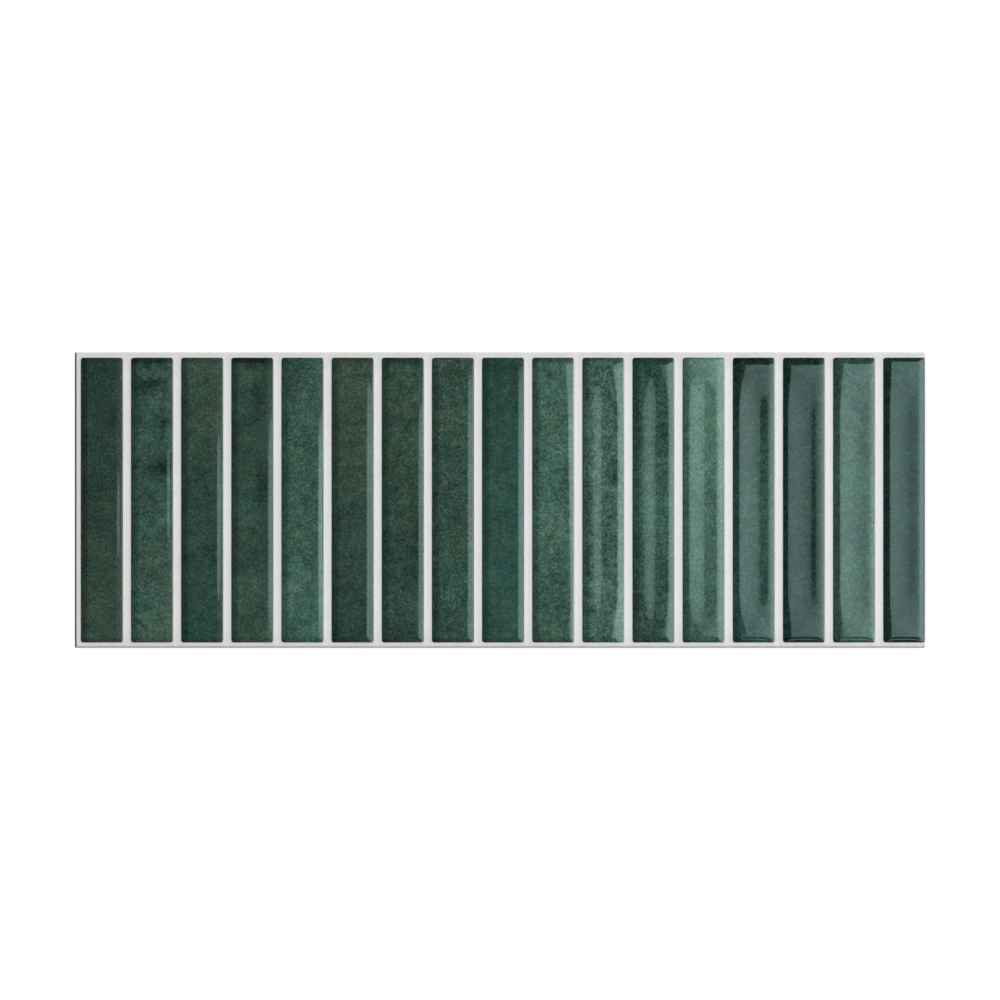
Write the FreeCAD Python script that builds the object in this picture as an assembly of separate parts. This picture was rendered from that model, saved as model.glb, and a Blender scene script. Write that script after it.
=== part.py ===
import FreeCAD, Part
import math
import os

from FreeCAD import Vector

# One pressed and glazed wall tile. Its face carries a row of raised fingers with
# cushioned edges, set apart by shallow moulded joints. Lengths are in millimetres.
# The origin is the centre of the bounding box on the bedding plane, X runs along the
# row of fingers, Y along each finger and Z out of the face.

# Row of fingers
FINGER_COUNT = 17
FINGER_WIDTH = 14.7
FINGER_LENGTH = 99.7
FINGER_CORNER = 0.9
JOINT_WIDTH = 2.85

# Bands of joint round the row; the last finger ends flush with the tile's right side
LEFT_MARGIN = 2.2
END_MARGIN = 1.95

# Section of the tile
JOINT_LEVEL = 7.3
FINGER_RISE = 1.2
WALL_RISE = 0.55
SHOULDER_RADIUS = 0.45
CUSHION_WIDTH = 2.3
DISH_DEPTH = 0.08
DISH_END_LAND = 5.0

# Moulded gutters in the joints and margins, with a flat ledge left on each side of them
GUTTER_LEDGE = 0.2
JOINT_GUTTER_DEPTH = 0.3
MARGIN_GUTTER_DEPTH = 0.15

# Sides: an upright band under the face, then a draft in towards the bedding plane
SIDE_BAND = 3.0
SIDE_DRAFT = 0.5
SIDE_CORNER = 0.6
FACE_ARRIS = 0.5

# Keying on the back: rows of shallow pockets between ribs
KEY_DEPTH = 0.6
KEY_RIM = 6.0
KEY_RIB = 3.0
KEY_ROWS = 4
KEY_COLUMNS = 12
KEY_DRAFT = 0.4

# Worked out from the sizes above
PITCH = FINGER_WIDTH + JOINT_WIDTH
ROW_LENGTH = FINGER_COUNT * PITCH - JOINT_WIDTH
TILE_LENGTH = LEFT_MARGIN + ROW_LENGTH
TILE_WIDTH = FINGER_LENGTH + 2 * END_MARGIN
FIRST_FINGER = -TILE_LENGTH / 2 + LEFT_MARGIN + FINGER_WIDTH / 2


def rounded_rectangle(length, width, radius, z):
    """Wire of a rectangle with round corners, lying at height z."""
    reach_x, reach_y = length / 2 - radius, width / 2 - radius
    corners = [(reach_x, -reach_y), (reach_x, reach_y), (-reach_x, reach_y), (-reach_x, -reach_y)]
    arcs = []
    for quarter, (x, y) in enumerate(corners):
        centre = Vector(x, y, z)
        turns = [math.radians(90 * quarter + step) for step in (-90, -45, 0)]
        points = [centre + Vector(radius * math.cos(t), radius * math.sin(t), 0) for t in turns]
        arcs.append(points)
    edges = []
    for points, following in zip(arcs, arcs[1:] + arcs[:1]):
        edges.append(Part.Arc(*points).toShape())
        edges.append(Part.LineSegment(points[-1], following[0]).toShape())
    return Part.Wire(edges)


def cushion_edges(half_span):
    """Right half of a finger's section as edges from its foot to its crown line.

    The wall stands upright, a small shoulder arc is tangent to it, and the wide cushion
    arc is tangent to the shoulder and level where it meets the crown.
    """
    run = CUSHION_WIDTH - SHOULDER_RADIUS
    climb = FINGER_RISE - WALL_RISE
    reach = run**2 + climb**2 - SHOULDER_RADIUS**2
    cushion_radius = reach / (2 * (climb - SHOULDER_RADIUS))
    shoulder_centre = Vector(half_span - SHOULDER_RADIUS, 0, WALL_RISE)
    cushion_centre = Vector(half_span - CUSHION_WIDTH, 0, FINGER_RISE - cushion_radius)
    meeting = math.atan2(shoulder_centre.z - cushion_centre.z, shoulder_centre.x - cushion_centre.x)

    def on_arc(centre, radius, angle):
        return centre + Vector(radius * math.cos(angle), 0, radius * math.sin(angle))

    foot = Vector(half_span, 0, 0)
    wall_top = on_arc(shoulder_centre, SHOULDER_RADIUS, 0)
    shoulder_middle = on_arc(shoulder_centre, SHOULDER_RADIUS, meeting / 2)
    tangent_point = on_arc(cushion_centre, cushion_radius, meeting)
    cushion_middle = on_arc(cushion_centre, cushion_radius, (meeting + math.pi / 2) / 2)
    crown = on_arc(cushion_centre, cushion_radius, math.pi / 2)
    return [
        Part.LineSegment(foot, wall_top).toShape(),
        Part.Arc(wall_top, shoulder_middle, tangent_point).toShape(),
        Part.Arc(tangent_point, cushion_middle, crown).toShape(),
    ]


def cushion_bar(span, length):
    """A bar of the cushioned section, as wide as span in X and running along Y."""
    right = cushion_edges(span / 2)
    left = [edge.mirror(Vector(0, 0, 0), Vector(1, 0, 0)) for edge in right]
    right_crown = Vector(span / 2 - CUSHION_WIDTH, 0, FINGER_RISE)
    left_crown = Vector(-right_crown.x, 0, FINGER_RISE)
    top = Part.LineSegment(right_crown, left_crown).toShape()
    base = Part.LineSegment(Vector(-span / 2, 0, 0), Vector(span / 2, 0, 0)).toShape()
    outline = Part.Wire(Part.__sortEdges__(right + left + [top, base]))
    bar = Part.Face(outline).extrude(Vector(0, length, 0))
    bar.translate(Vector(0, -length / 2, 0))
    return bar


def arc_radius(half_chord, sagitta):
    """Radius of the arc that dips by sagitta across a chord of twice half_chord."""
    return (half_chord**2 + sagitta**2) / (2 * sagitta)


def half_chord_at(radius, sagitta):
    """Half of the chord across which an arc of this radius dips by sagitta."""
    return math.sqrt(radius**2 - (radius - sagitta) ** 2)


def dish_cutter():
    """Lens that hollows a finger's crown: curved across the finger and, more gently, along it.

    It stands as far above the crown as it cuts into it, so its own lid stays clear.
    """
    half_width = FINGER_WIDTH / 2 - CUSHION_WIDTH
    half_length = FINGER_LENGTH / 2 - CUSHION_WIDTH - DISH_END_LAND
    radius_across = arc_radius(half_width, DISH_DEPTH)
    radius_along = arc_radius(half_length, DISH_DEPTH)
    bottom = FINGER_RISE - DISH_DEPTH
    lens_height = 2 * DISH_DEPTH
    reach = half_chord_at(radius_across, lens_height)
    left, right = Vector(-reach, 0, bottom + lens_height), Vector(reach, 0, bottom + lens_height)
    dip = Part.Arc(left, Vector(0, 0, bottom), right).toShape()
    lid = Part.LineSegment(right, left).toShape()
    section = Part.Face(Part.Wire([dip, lid]))
    pivot = Vector(0, 0, bottom + radius_along)
    swing = math.degrees(math.asin(half_chord_at(radius_along, lens_height) / radius_along))
    section.rotate(pivot, Vector(1, 0, 0), -swing)
    return section.revolve(pivot, Vector(1, 0, 0), 2 * swing)


def finger():
    """One raised finger, standing on the joint level at the origin."""
    across = cushion_bar(FINGER_WIDTH, FINGER_LENGTH)
    along = cushion_bar(FINGER_LENGTH, FINGER_WIDTH)
    along.rotate(Vector(0, 0, 0), Vector(0, 0, 1), 90)
    outline = rounded_rectangle(FINGER_WIDTH, FINGER_LENGTH, FINGER_CORNER, 0)
    post = Part.Face(outline).extrude(Vector(0, 0, FINGER_RISE))
    return across.common(along).common(post).cut(dish_cutter())


def gutter(width, depth, start, end):
    """Rod that cuts a gutter of this width and depth into the joint level, from start to end."""
    radius = arc_radius(width / 2, depth)
    foot = Vector(start.x, start.y, JOINT_LEVEL - depth + radius)
    run = end - start
    return Part.makeCylinder(radius, run.Length, foot, run)


def joint_gutters():
    """Cutters for the gutters between the fingers, which run out at both ends of the joints."""
    width = JOINT_WIDTH - 2 * GUTTER_LEDGE
    rods = []
    for index in range(FINGER_COUNT - 1):
        x = FIRST_FINGER + (index + 0.5) * PITCH
        start, end = Vector(x, -TILE_WIDTH / 2, 0), Vector(x, TILE_WIDTH / 2, 0)
        rods.append(gutter(width, JOINT_GUTTER_DEPTH, start, end))
    return rods


def margin_gutters():
    """Cutters for the gutters of the left and end margins, between the arris and the fingers."""
    half_x, half_y = TILE_LENGTH / 2, TILE_WIDTH / 2
    arris_and_ledges = FACE_ARRIS + 2 * GUTTER_LEDGE
    end_width = END_MARGIN - arris_and_ledges
    left_width = LEFT_MARGIN - arris_and_ledges
    y = half_y - FACE_ARRIS - GUTTER_LEDGE - end_width / 2
    x = -half_x + FACE_ARRIS + GUTTER_LEDGE + left_width / 2
    rods = []
    for side in (-1, 1):
        start, end = Vector(-half_x, side * y, 0), Vector(half_x, side * y, 0)
        rods.append(gutter(end_width, MARGIN_GUTTER_DEPTH, start, end))
    start, end = Vector(x, -half_y, 0), Vector(x, half_y, 0)
    rods.append(gutter(left_width, MARGIN_GUTTER_DEPTH, start, end))
    return rods


def slab():
    """Body of the tile up to the joint level, with upright bands and drafted sides."""
    band_foot = JOINT_LEVEL - SIDE_BAND
    rim = rounded_rectangle(TILE_LENGTH, TILE_WIDTH, SIDE_CORNER, band_foot)
    bed = rounded_rectangle(
        TILE_LENGTH - 2 * SIDE_DRAFT, TILE_WIDTH - 2 * SIDE_DRAFT, SIDE_CORNER, 0
    )
    band = Part.Face(rim).extrude(Vector(0, 0, SIDE_BAND))
    return Part.makeLoft([bed, rim], True, True).fuse(band)


def ease_face_arris(body):
    """Bevels the slab's upper edge on the sides that have a margin of joint."""
    chosen = []
    for edge in body.Edges:
        middle = edge.valueAt((edge.FirstParameter + edge.LastParameter) / 2)
        on_top = math.isclose(middle.z, JOINT_LEVEL)
        on_right = middle.x > TILE_LENGTH / 2 - SIDE_CORNER
        if on_top and not on_right:
            chosen.append(edge)
    return body.makeChamfer(FACE_ARRIS, chosen)


def rectangle(length, width, x, y, z):
    """Wire of a rectangle with square corners, centred on x, y at height z."""
    reach_x, reach_y = length / 2, width / 2
    corners = [(reach_x, -reach_y), (reach_x, reach_y), (-reach_x, reach_y), (-reach_x, -reach_y)]
    points = [Vector(x + step_x, y + step_y, z) for step_x, step_y in corners]
    return Part.makePolygon(points + points[:1])


def key_pockets():
    """Drafted pockets that key the back into its adhesive, in rows and columns between ribs."""
    field_x, field_y = TILE_LENGTH - 2 * KEY_RIM, TILE_WIDTH - 2 * KEY_RIM
    step_x, step_y = (field_x + KEY_RIB) / KEY_COLUMNS, (field_y + KEY_RIB) / KEY_ROWS
    length, width = step_x - KEY_RIB, step_y - KEY_RIB
    pockets = []
    for column in range(KEY_COLUMNS):
        x = (column + 0.5) * step_x - (field_x + KEY_RIB) / 2
        for row in range(KEY_ROWS):
            y = (row + 0.5) * step_y - (field_y + KEY_RIB) / 2
            mouth = rectangle(length, width, x, y, 0)
            floor = rectangle(length - 2 * KEY_DRAFT, width - 2 * KEY_DRAFT, x, y, KEY_DEPTH)
            pockets.append(Part.makeLoft([mouth, floor], True, True))
    return pockets


def tile():
    """The whole tile as one solid."""
    body = ease_face_arris(slab().removeSplitter())
    body = body.cut(joint_gutters() + margin_gutters() + key_pockets())
    one_finger = finger()
    fingers = []
    for index in range(FINGER_COUNT):
        copy = one_finger.copy()
        copy.translate(Vector(FIRST_FINGER + index * PITCH, 0, JOINT_LEVEL))
        fingers.append(copy)
    return body.fuse(fingers).removeSplitter()


os.makedirs("parts", exist_ok=True)
shape = tile()
box = shape.optimalBoundingBox()
print(f"tile: {len(shape.Solids)} solid, {len(shape.Faces)} faces, valid {shape.isValid()}")
print(f"tile: {box.XLength:.3f} x {box.YLength:.3f} x {box.ZLength:.3f} mm, lowest {box.ZMin:.4f}")
print(f"tile: volume {shape.Volume / 1000:.2f} cm3")
shape.Solids[0].exportStep("parts/tile.step")
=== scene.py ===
import bmesh
import bpy
import numpy as np
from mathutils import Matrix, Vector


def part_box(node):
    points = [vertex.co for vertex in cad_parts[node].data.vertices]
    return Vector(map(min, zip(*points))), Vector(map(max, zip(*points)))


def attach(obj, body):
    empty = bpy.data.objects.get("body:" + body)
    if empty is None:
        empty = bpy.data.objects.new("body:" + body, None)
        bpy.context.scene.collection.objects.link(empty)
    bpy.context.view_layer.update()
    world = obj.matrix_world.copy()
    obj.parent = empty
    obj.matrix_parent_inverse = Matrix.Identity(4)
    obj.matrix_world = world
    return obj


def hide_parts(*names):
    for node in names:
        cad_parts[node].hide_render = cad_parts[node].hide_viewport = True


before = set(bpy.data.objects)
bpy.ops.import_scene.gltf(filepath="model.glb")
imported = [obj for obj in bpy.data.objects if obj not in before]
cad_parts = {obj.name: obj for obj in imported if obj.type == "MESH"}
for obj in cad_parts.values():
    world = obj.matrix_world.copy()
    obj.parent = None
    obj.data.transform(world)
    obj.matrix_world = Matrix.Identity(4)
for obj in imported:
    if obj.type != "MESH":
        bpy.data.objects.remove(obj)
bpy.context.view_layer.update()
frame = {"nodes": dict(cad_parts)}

low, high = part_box("tile")
# everything in Blender is in metres, and a length in mm times MM is one in metres
MM = 0.001
LENGTH, WIDTH, HEIGHT = [side / MM for side in high - low]
print(f"nodes of the solid: {', '.join(frame['nodes'])}")
print(f"tile: {LENGTH:.1f} x {WIDTH:.1f} x {HEIGHT:.1f} mm")

# %% [markdown]
# ## What the tile is
#
# A finger tile is one pressed ceramic piece. The die raises a row of narrow fingers out of
# its face, each with a soft cushioned edge, and leaves shallow joints between them. The
# fingers carry a glossy green glaze and the joints a pale satin one, so the tile looks like
# a row of small tiles already grouted. All lengths below are in millimetres, and they are
# the sizes of the solid, so the face drawn here lies on that solid.

# %% Sizes of the face
FINGER_COUNT = 17
FINGER_WIDTH = 14.7
FINGER_LENGTH = 99.7
FINGER_CORNER = 0.9
PITCH = 17.55
JOINT_WIDTH = PITCH - FINGER_WIDTH
LEFT_MARGIN = LENGTH - FINGER_COUNT * PITCH + JOINT_WIDTH
END_MARGIN = (WIDTH - FINGER_LENGTH) / 2
FINGER_RISE = 1.2
JOINT_LEVEL = HEIGHT - FINGER_RISE
CROWN_BORDER = 1.7
FINGER_CENTRES = -LENGTH / 2 + LEFT_MARGIN + FINGER_WIDTH / 2 + PITCH * np.arange(FINGER_COUNT)
print(f"left margin {LEFT_MARGIN:.2f} mm, end margins {END_MARGIN:.2f} mm")

# %% [markdown]
# ## Where the grid lines run
#
# The face could be modelled by hand with loop cuts and bevels, but every height on it
# follows a simple rule, so it is worked out instead: a grid of lines across and along the
# tile, and a height for each crossing. The lines lie close together where the face turns
# quickly, on the walls and shoulders of the fingers, and far apart on the flat crowns.
# That keeps the mesh light and lets the gloss run smoothly over it.

# %% Lines over a finger and a joint
# a wall starts HAIR inside the finger's outline and leans in by twice that; the turns are the
# places of the lines along the shoulder's arc; a narrow ledge lies on both sides of a gutter
HAIR = 0.01
SHOULDER_RADIUS = 0.3
SHOULDER_TURNS = np.radians([25, 50, 70, 84])
SHOULDER_WIDTH = SHOULDER_RADIUS * (1 - np.cos(SHOULDER_TURNS[-1]))
CUSHION_BAND = 3.2
CUSHION_STEPS = 10
GUTTER_LEDGE = 0.2
JOINT_LINE_COUNT, MARGIN_LINE_COUNT = 6, 5
FACE_ARRIS = 0.5


def lines_over(span, crown_lines):
    """Lines over a whole finger, measured from its middle and the same on both sides.

    From the edge inwards they are the wall, the shoulder's arc, the cushion and the crown,
    and crown_lines are distances in from the cushion's band, spread to reach the middle.
    """
    half = span / 2 - HAIR
    shoulder = SHOULDER_RADIUS * (1 - np.cos(SHOULDER_TURNS))
    cushion = np.linspace(SHOULDER_WIDTH, CUSHION_BAND, CUSHION_STEPS + 1)[1:]
    crown = CUSHION_BAND + crown_lines * (half - CUSHION_BAND) / crown_lines[-1]
    left = np.concatenate([[0, 2 * HAIR], shoulder, cushion, crown]) - half
    return np.concatenate([left, -left[-2::-1]])


JOINT_LINES = np.linspace(GUTTER_LEDGE, JOINT_WIDTH - GUTTER_LEDGE, JOINT_LINE_COUNT)
ARRIS_LINES = np.array([0, 0.03, 0.1, 0.22, FACE_ARRIS])


def margin_lines(margin):
    """Distances from the tile's side to a finger: round arris, ledge, gutter, ledge."""
    first, last = FACE_ARRIS + GUTTER_LEDGE, margin - GUTTER_LEDGE
    return np.concatenate([ARRIS_LINES, np.linspace(first, last, MARGIN_LINE_COUNT)])


# %% The whole grid
# along a finger the lines are closer together in its first and last END_RUN mm
CROWN_LINES = np.arange(1.0, 6.0)
END_RUN = 16.0
END_LINE_COUNT, MIDDLE_LINE_COUNT = 14, 17

across = lines_over(FINGER_WIDTH, CROWN_LINES)
columns = [-LENGTH / 2 + margin_lines(LEFT_MARGIN)]
for index, centre in enumerate(FINGER_CENTRES):
    columns.append(centre + across)
    if index < FINGER_COUNT - 1:
        columns.append(centre + FINGER_WIDTH / 2 + JOINT_LINES)
columns.append([LENGTH / 2])
columns = np.concatenate(columns)

near_end = np.linspace(1, END_RUN, END_LINE_COUNT)
middle = np.linspace(END_RUN, FINGER_LENGTH / 2, MIDDLE_LINE_COUNT)[1:]
along = lines_over(FINGER_LENGTH, np.concatenate([near_end, middle]))
end_lines = margin_lines(END_MARGIN) - WIDTH / 2
rows = np.concatenate([end_lines, along, -end_lines[::-1]])
X, Y = np.meshgrid(columns, rows)
print(f"grid: {len(columns)} lines across, {len(rows)} along, {X.size} crossings")

# %% [markdown]
# ## Round corners on a square grid
#
# Seen from above, the fingers and the tile have small round corners, while the grid is
# square. Instead of cutting the corners, the crossings near each one are slid along: square
# rings around the corner's centre become quarter circles of the same size. Outside a finger
# the slide dies away within the ledge of the joint, and the tile's own sides stay straight.

# %% Slide the crossings
SIDE_CORNER = 0.6


def round_corners(x, y, half_x, half_y, radius, fade):
    """Slides of the points in the corner squares that turn square rings into quarter circles.

    With a and b the offsets from the corner's centre and m the larger one, the point goes to
    m (cos q, sin q), where q is 45 degrees times the smaller over the larger offset.
    """
    a, b = np.abs(x) - (half_x - radius), np.abs(y) - (half_y - radius)
    ring = np.maximum(a, b)
    inside = (a > 0) & (b > 0)
    share = np.where(inside, np.minimum(a, b) / np.where(inside, ring, 1), 0)
    long_part, short_part = ring * np.cos(share * np.pi / 4), ring * np.sin(share * np.pi / 4)
    new_a, new_b = np.where(a >= b, (long_part, short_part), (short_part, long_part))
    weight = np.clip(1 - (ring - radius) / fade, 0, 1) * inside
    return np.sign(x) * weight * (new_a - a), np.sign(y) * weight * (new_b - b)


finger = np.clip(np.round((X - FINGER_CENTRES[0]) / PITCH), 0, FINGER_COUNT - 1).astype(int)
grid_x = X - FINGER_CENTRES[finger]
half_x, half_y = FINGER_WIDTH / 2 - HAIR, FINGER_LENGTH / 2 - HAIR
slide_x, slide_y = round_corners(grid_x, Y, half_x, half_y, FINGER_CORNER, GUTTER_LEDGE)
tile_slide_x, tile_slide_y = round_corners(X, Y, LENGTH / 2, WIDTH / 2, SIDE_CORNER, GUTTER_LEDGE)
on_side = np.zeros(X.shape, bool)
on_side[:, [0, -1]] = True
on_side[[0, -1], :] = True
face_x = X + tile_slide_x + np.where(on_side, 0, slide_x)
face_y = Y + tile_slide_y + np.where(on_side, 0, slide_y)
local_x = face_x - FINGER_CENTRES[finger]
print(f"corners: crossings slid by up to {np.hypot(slide_x, slide_y).max():.2f} mm")

# %% [markdown]
# ## The height of a finger
#
# A finger's section is read from its edge inwards. An upright wall meets a small round
# shoulder, then a cushion falls gently away from the crown. The crown itself isn't flat:
# in the middle of the finger it is dished by less than two tenths of a millimetre, and
# towards the ends it turns into a very low pillow. That hardly shows as shape, but a gloss
# surface mirrors the window light, and so a slope of one degree decides whether a strip of
# glaze looks bright or dark. The heights are therefore built from the slopes they should
# have.

# %% Cushion and shoulder
# the slopes are ratios, fall over distance
CUSHION_SLOPE = 0.18
CUSHION_PEAK = 0.8
LOWER_CUSHION = 2.15
LOWER_ARCH = 1.3
LOWER_SLOPE, LOWER_BEND = 0.11, 0.09
WAVE_SLOPE, WAVE_LENGTH = 0.15, 1.4


def cushion_drop(distance, slope, hold):
    """Fall of a cushion at a distance outside the crown.

    With r = t / p, its slope is S r exp(1 - r), which peaks at S and eases off, and a second
    part H r^2 / (r^2 + 4), which holds it up as far as the edge. The fall is their integral,
    S p e (1 - (1 + r) exp(-r)) + H p (r - 2 arctan(r / 2)).
    """
    ratio = np.maximum(distance, 0) / CUSHION_PEAK
    easing = slope * np.e * (1 - (1 + ratio) * np.exp(-ratio))
    return CUSHION_PEAK * (easing + hold * (ratio - 2 * np.arctan(ratio / 2)))


def lower_drop(distance):
    """Fall of the lower cushion, where the glaze ran down and set in a bead.

    Its slope is a + b t + w sin(2 pi t / l), a steady bend with a wave on it, and its fall is
    the integral of that, a t + b t^2 / 2 + w l / (2 pi) (1 - cos(2 pi t / l)).
    """
    t = np.maximum(distance, 0)
    wave = WAVE_SLOPE * WAVE_LENGTH / (2 * np.pi) * (1 - np.cos(2 * np.pi * t / WAVE_LENGTH))
    return LOWER_SLOPE * t + LOWER_BEND * t**2 / 2 + wave


def meet(*falls):
    """Falls from several sides met in soft mitres: the fourth root of their fourth powers' sum."""
    return np.sum([fall**4 for fall in falls], axis=0) ** 0.25


def shoulder_fall(distance):
    """Further fall at a distance in from the finger's edge: a circle of the shoulder's radius."""
    inward = SHOULDER_RADIUS - np.clip(distance, 0, SHOULDER_WIDTH)
    top_of_arc = SHOULDER_RADIUS * np.sin(SHOULDER_TURNS[-1])
    return top_of_arc - np.sqrt(SHOULDER_RADIUS**2 - inward**2)


# %% [markdown]
# ## Small differences between the fingers
#
# No two glazed fingers are quite alike. Where the glaze runs thin a cushion is flatter, and
# its bright edge shrinks to a hairline; away from one place along the finger the glaze has
# drawn back a little, and the bright edge fades out there. The dishes differ too: some lean,
# some are deeper, and in a few the glaze set with a low ledge along it. So each finger gets
# one short line of numbers.

# %% Shape notes, one line for each finger from the left
# widths of the left, right and top cushions, how much the left and right ones widen at the
# ends and the right one towards the top; the right one's peak slope and the slope it holds,
# the place along the finger where it is fullest, the reaches over which it fades upwards and
# downwards; the dish's lean and depth as slopes; a ledge's slope, its place across the finger
# and its reach. Lengths are in mm, and places are measured from the middle of the finger.
SHAPES = np.array([
    [2.3, 2.43, 2.6, 0.0, 0.0, 0.0, 0.207, 0.00, -5, 29, 29, 0.000, 0.030, 0.000, 0.0, 1.0],
    [2.3, 2.46, 2.6, 0.0, 0.0, 0.0, 0.195, 0.00, 1, 29, 29, 0.000, 0.030, 0.000, 0.0, 1.0],
    [2.3, 2.43, 2.6, 0.0, 0.0, 0.0, 0.218, 0.00, -6, 43, 43, 0.000, 0.030, 0.000, 0.0, 1.0],
    [2.3, 2.14, 2.6, 0.0, 0.0, 0.0, 0.170, 0.14, -20, 67, 36, 0.000, 0.030, 0.000, 0.0, 1.0],
    [2.3, 2.02, 2.6, 0.0, 0.0, 0.0, 0.240, 0.20, -7, 43, 50, 0.000, 0.030, 0.000, 0.0, 1.0],
    [2.3, 2.71, 2.6, 0.0, 0.0, 0.0, 0.160, 0.14, 0, 50, 200, 0.000, 0.030, 0.000, 0.0, 1.0],
    [2.3, 2.14, 2.6, 0.0, 0.0, 0.0, 0.130, 0.12, 0, 43, 200, 0.000, 0.030, 0.000, 0.0, 1.0],
    [2.3, 2.43, 2.6, 0.0, 0.0, 0.0, 0.125, 0.12, 0, 52, 200, 0.000, 0.030, 0.000, 0.0, 1.0],
    [2.3, 2.23, 2.6, 0.0, 0.0, 0.0, 0.140, 0.15, 0, 51, 200, 0.000, 0.030, 0.000, 0.0, 1.0],
    [2.3, 1.91, 2.6, 0.0, 0.5, 0.8, 0.150, 0.24, 0, 51, 200, 0.000, 0.030, 0.000, 0.0, 1.0],
    [2.3, 2.50, 2.6, 0.0, 1.2, 0.0, 0.190, 0.24, 0, 56, 200, 0.000, 0.030, 0.080, -2.0, 1.05],
    [2.3, 2.17, 2.6, 0.0, 1.0, 0.0, 0.110, 0.30, 0, 65, 200, 0.000, 0.030, 0.068, -1.1, 1.15],
    [2.0, 2.90, 0.8, 1.0, 0.0, 0.0, 0.100, 0.26, 0, 90, 200, 0.015, 0.098, -0.030, 0.9, 0.6],
    [2.1, 1.90, 2.5, 1.4, 0.0, 0.0, 0.050, 0.38, 0, 90, 200, 0.019, 0.115, 0.000, 0.0, 1.0],
    [1.6, 1.80, 2.6, 1.1, 0.0, 0.0, 0.050, 0.20, 0, 90, 200, -0.002, 0.080, -0.010, 3.4, 0.7],
    [2.4, 1.75, 2.2, 0.9, 0.0, 0.0, 0.090, 0.25, 0, 90, 200, 0.006, 0.120, 0.000, 0.0, 1.0],
    [2.3, 2.50, 1.4, 0.5, 0.0, 0.0, 0.120, 0.20, 0, 90, 200, -0.020, 0.115, 0.000, 0.0, 1.0],
])
shape_notes = np.moveaxis(SHAPES[finger], -1, 0)
left_cushion, right_cushion, top_cushion, left_spread, right_spread, top_spread = shape_notes[:6]
peak_slope, held_slope, fullest_at, fade_up, fade_down = shape_notes[6:11]
lean, bowl, ledge_slope, ledge_at, ledge_reach = shape_notes[11:]

# %% Crown
# the dish turns into the pillow between these two distances from the finger's middle
DISH_END = 31.0
PILLOW_START = 48.0
PILLOW_BEND = 0.0037


def ease(value, start, end):
    """Smooth step from 0 at start to 1 at end: t t (3 - 2 t)."""
    t = np.clip((value - start) / (end - start), 0, 1)
    return t * t * (3 - 2 * t)


def crown_fall(x, y):
    """Fall of the crown across the finger: a dish in the middle, a pillow at the ends.

    With u running from -1 to 1 across the crown, the dish slopes down by
    (1 - u^2) (lean - bowl u), and its fall is the integral of that. A ledge in it slopes by
    g / cosh^2 ((x - c) / w), which falls by g w tanh ((x - c) / w). The pillow falls by
    bend x^2 / 2, and the two are mixed by a smooth step along the finger.
    """
    half = FINGER_WIDTH / 2 - CROWN_BORDER
    u = np.clip(x / half, -1, 1)
    leaning = lean * (u - u**3 / 3 + 2 / 3)
    bowed = -bowl * (u**2 / 2 - u**4 / 4 - 1 / 4)
    ledge = ledge_slope * ledge_reach * (1 + np.tanh((u * half - ledge_at) / ledge_reach))
    pillow = PILLOW_BEND * (u * half) ** 2 / 2
    share = ease(np.abs(y), DISH_END, PILLOW_START)
    return (1 - share) * (half * (leaning + bowed) + ledge) + share * pillow


def finger_height():
    """Height of the fingers: rise, less the cushions, the crown's fall and the shoulder.

    The side cushions widen a little towards the ends. The right one fades with the cube of
    the distance along the finger. The lower one bends away with the fourth power of x.
    """
    near_ends = ease(np.abs(face_y), DISH_END, PILLOW_START)
    left_width = left_cushion + left_spread * near_ends
    right_width = right_cushion + right_spread * near_ends + top_spread * face_y / half_y
    lower_width = LOWER_CUSHION - LOWER_ARCH * (local_x / half_x) ** 4
    reach = np.where(face_y > fullest_at, fade_up, fade_down)
    fade = 1 - np.clip(np.abs(face_y - fullest_at) / reach, 0, 1) ** 3
    cushions = meet(
        cushion_drop(left_width - half_x - local_x, CUSHION_SLOPE, 0),
        cushion_drop(right_width - half_x + local_x, peak_slope * fade, held_slope * fade),
        cushion_drop(top_cushion - half_y + face_y, CUSHION_SLOPE, 0),
        lower_drop(lower_width - half_y - face_y),
    )
    fall = cushions + crown_fall(local_x, face_y) + shoulder_fall(edge)
    return JOINT_LEVEL + FINGER_RISE - fall


edge = np.minimum(half_x - np.abs(grid_x), half_y - np.abs(Y))
finger_z = finger_height()
lift = HEIGHT - finger_z.max()
print(f"crowns: lifted {lift:.3f} mm, to touch the top of the solid")

# %% [markdown]
# ## Joints, gutters and the round arris
#
# Between the fingers the face drops to the joint level. A gutter with a round bottom runs
# along each joint, as if a finger had been drawn through wet grout, and the tile's own edge
# is rounded where a margin of joint meets it.

# %% Height of the joints
JOINT_GUTTER_DEPTH = 0.2
MARGIN_GUTTER_DEPTH = 0.15


def gutter_depth(offset, width, depth):
    """Depth of a round-bottomed gutter at an offset from its middle line, by its circle."""
    radius = (width**2 / 4 + depth**2) / (2 * depth)
    inside = np.clip(np.abs(offset), 0, width / 2)
    return np.sqrt(radius**2 - inside**2) - (radius - depth)


def arris_height(distance):
    """Joint level near the tile's side, rounded down over the arris by a quarter circle."""
    short = FACE_ARRIS - np.clip(distance, 0, FACE_ARRIS)
    return JOINT_LEVEL - FACE_ARRIS + np.sqrt(FACE_ARRIS**2 - short**2)


from_left, from_end = X + LENGTH / 2, WIDTH / 2 - np.abs(Y)


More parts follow.
